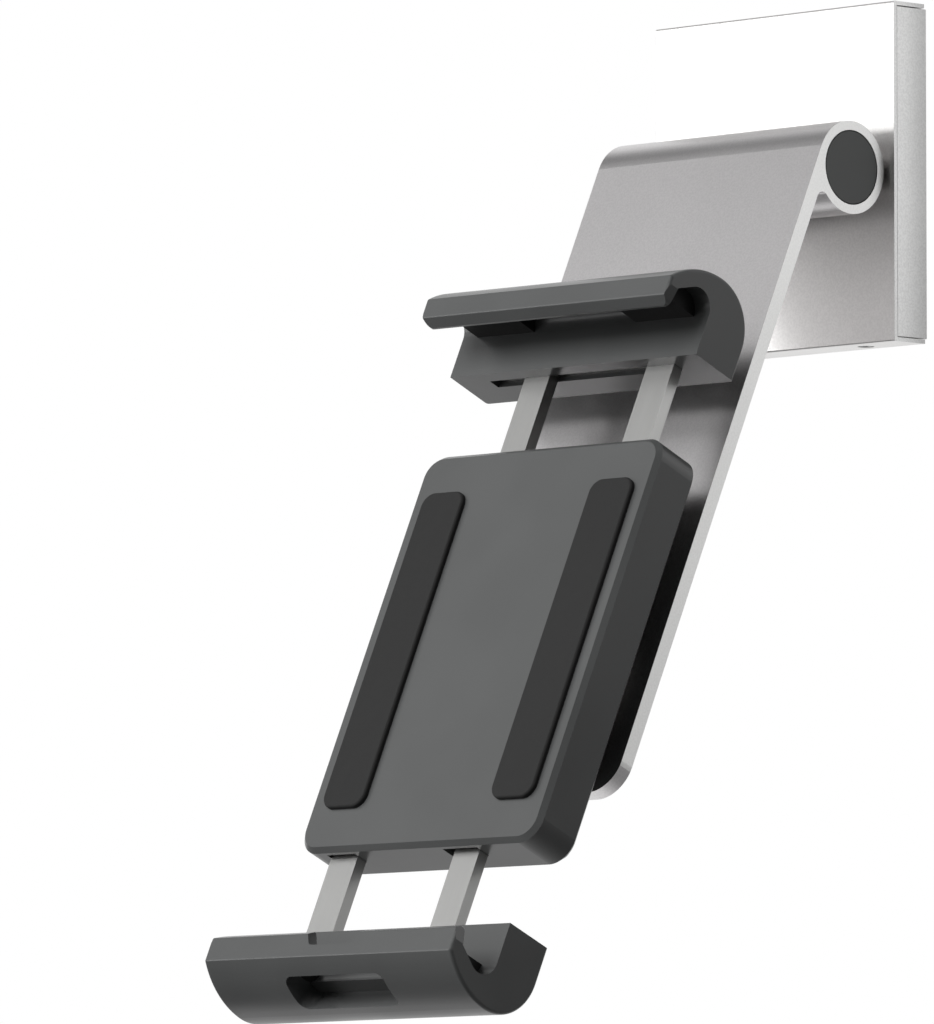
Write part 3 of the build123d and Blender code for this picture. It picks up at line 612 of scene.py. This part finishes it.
def rubber(name, colour):
    """Soft rubber: dark, very dull, with a fine dust-like bloom."""
    material, tree, shader, place = new_finish(name)
    fine = grain(tree, place, bloom_scale, detail=3.0)
    wide = grain(tree, place, smear_scale, detail=3.0)
    paint(tree, shader, blend(tree, wide, *shades(colour, 0.12)))
    roughen(tree, shader, spread(tree, wide, 0.72, 0.86))
    relief(tree, shader, fine, bloom_depth)
    return material


finishes["pad_rubber"] = rubber("pad_rubber_finish", colour=(0.02, 0.02, 0.02))
print("finishes:", sorted(finishes))

# %% [markdown]
# ### Putting the finishes on
#
# The record says which material each piece is made of. Its pieces are listed by their slot
# there, so the finish is looked up by that name rather than typed a second time.

# %% Dress the frame
slot_of = {row["node"]: row["material_slot"] for row in frame["record"]["subparts"]}


def dress(piece, slot):
    """Give a piece one finish, in every slot that its mesh has."""
    piece.data.materials.clear()
    piece.data.materials.append(finishes[slot])


for name, piece in nodes.items():
    dress(piece, slot_of[name])
print("dressed", len(nodes), "pieces with", len(set(slot_of.values())), "finishes")

# %% [markdown]
# ## Soft edges
#
# No real edge is perfectly sharp: sheet metal is tumbled after bending, an extrusion is brushed
# where it was sawn, and a mould has a small radius in every corner. Such an edge is a tenth or
# two of a millimetre wide, yet it is what catches the light and makes a part look made.
#
# The jaws, the arm, the housing and the wall cover already have their chamfers and roundings in
# the frame, and they keep the frame's own smooth faces. The wall base, the turned base and the
# pads have sharp edges there. A frame piece's mesh is loose triangles and stays as it is, so each
# of these gets a copy that stands in for it. In the copy the triangles are joined, the flat faces
# are cleaned of their inner lines, and the sharp edges are bevelled.

# %% Soft edges
sharp_turn = math.radians(32)
join_distance = 0.000001
flat_turn = math.radians(0.5)
edge_steps = 2
flat_face_weight = 100


def softened(name, width, body):
    """A copy of a frame piece with its sharp edges rounded, which stands in for it."""
    shape = bmesh.new()
    shape.from_mesh(nodes[name].data)
    bmesh.ops.remove_doubles(shape, verts=shape.verts, dist=join_distance)
    bmesh.ops.dissolve_limit(
        shape, verts=shape.verts, edges=shape.edges, angle_limit=flat_turn,
        use_dissolve_boundaries=False)
    joined = [edge for edge in shape.edges if edge.is_manifold]
    sharp = [edge for edge in joined if edge.calc_face_angle() > sharp_turn]
    bmesh.ops.bevel(
        shape, geom=sharp, offset=width, offset_type="OFFSET", affect="EDGES",
        segments=edge_steps, profile=0.5, material=-1, clamp_overlap=False)
    for face in shape.faces:
        face.smooth = True
    mesh = bpy.data.meshes.new(name + "_soft")
    shape.to_mesh(mesh)
    shape.free()
    mesh.set_sharp_from_angle(angle=sharp_turn)
    piece = bpy.data.objects.new(name + "_soft", mesh)
    bpy.context.scene.collection.objects.link(piece)
    weigh = piece.modifiers.new("flat_faces_stay_flat", "WEIGHTED_NORMAL")
    weigh.mode = "FACE_AREA"
    weigh.weight = flat_face_weight
    weigh.keep_sharp = True
    dress(piece, slot_of[name])
    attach(piece, body)
    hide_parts(name)
    return piece


soft_edges = {
    "wall": {"wall_base": 0.0002},
    "arm": {"swivel_base": 0.00015},
    "holder": {"back_pads": 0.0002},
}
for body, widths in soft_edges.items():
    for name, width in widths.items():
        piece = softened(name, width, body)
        print(piece.name, len(piece.data.polygons), "faces")

# %% [markdown]
# ## The floor's paint
#
# The floor is pale and even, so that it stays out of the picture's way.

# %% Floor finish


def plain_paint(name, colour):
    """Pale, even floor paint."""
    material, tree, shader, place = new_finish(name)
    wide = grain(tree, place, 3.0)
    paint(tree, shader, blend(tree, wide, *shades(colour, 0.02)))
    roughen(tree, shader, spread(tree, wide, 0.6, 0.7))
    return material


floor_mesh.materials.append(plain_paint("floor_paint", (0.62, 0.62, 0.62)))
print("floor paint is on")
